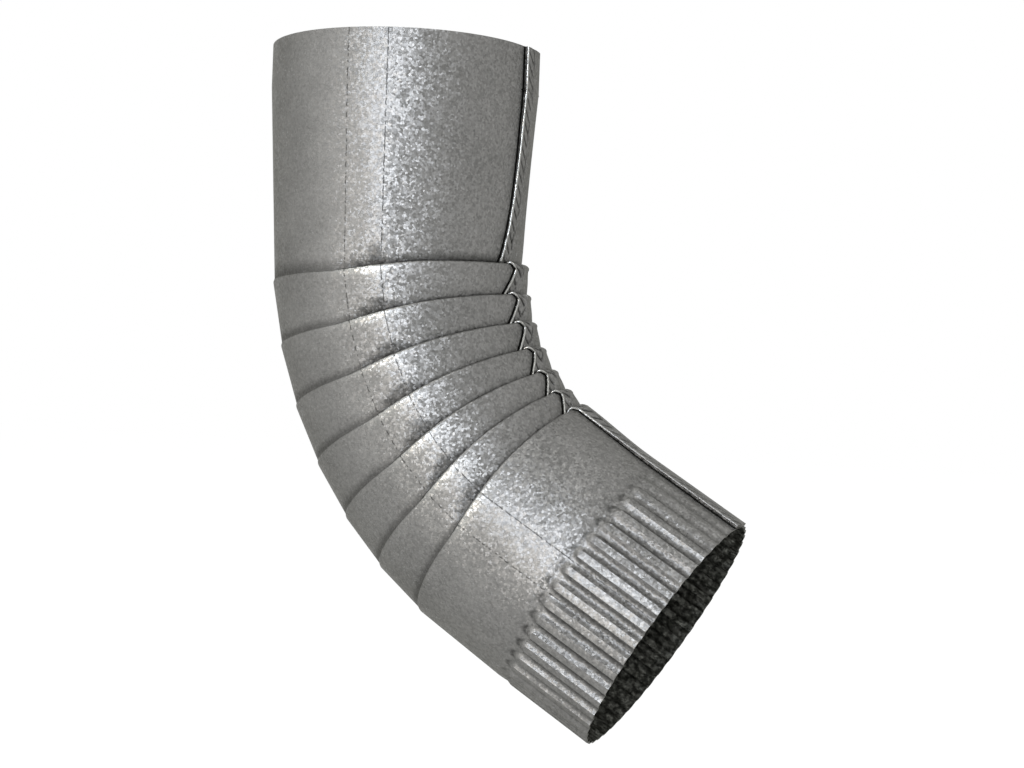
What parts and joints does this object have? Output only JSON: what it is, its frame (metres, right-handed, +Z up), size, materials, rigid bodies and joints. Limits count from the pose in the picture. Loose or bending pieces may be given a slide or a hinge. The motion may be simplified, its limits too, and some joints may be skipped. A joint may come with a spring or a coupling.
{
  "type": "downspout elbow",
  "caption": "Round pleated downspout elbow of galvanised sheet steel, with a plain socket end, a bend of folded pleats and a crimped slip end.",
  "frame": {"origin": "centre of the inlet mouth, in the plane of its cut edge", "axes": "+Z up along the inlet axis, out of the mouth; +X towards the throat, the way the outlet turns"},
  "size_m": [0.1427, 0.0772, 0.1944],
  "materials": {
    "galvanised_sheet": "hot-dip galvanised with a fine dull spangle"
  },
  "bodies": {
    "root": {"pleated_elbow": "galvanised_sheet"}
  },
  "joints": []
}
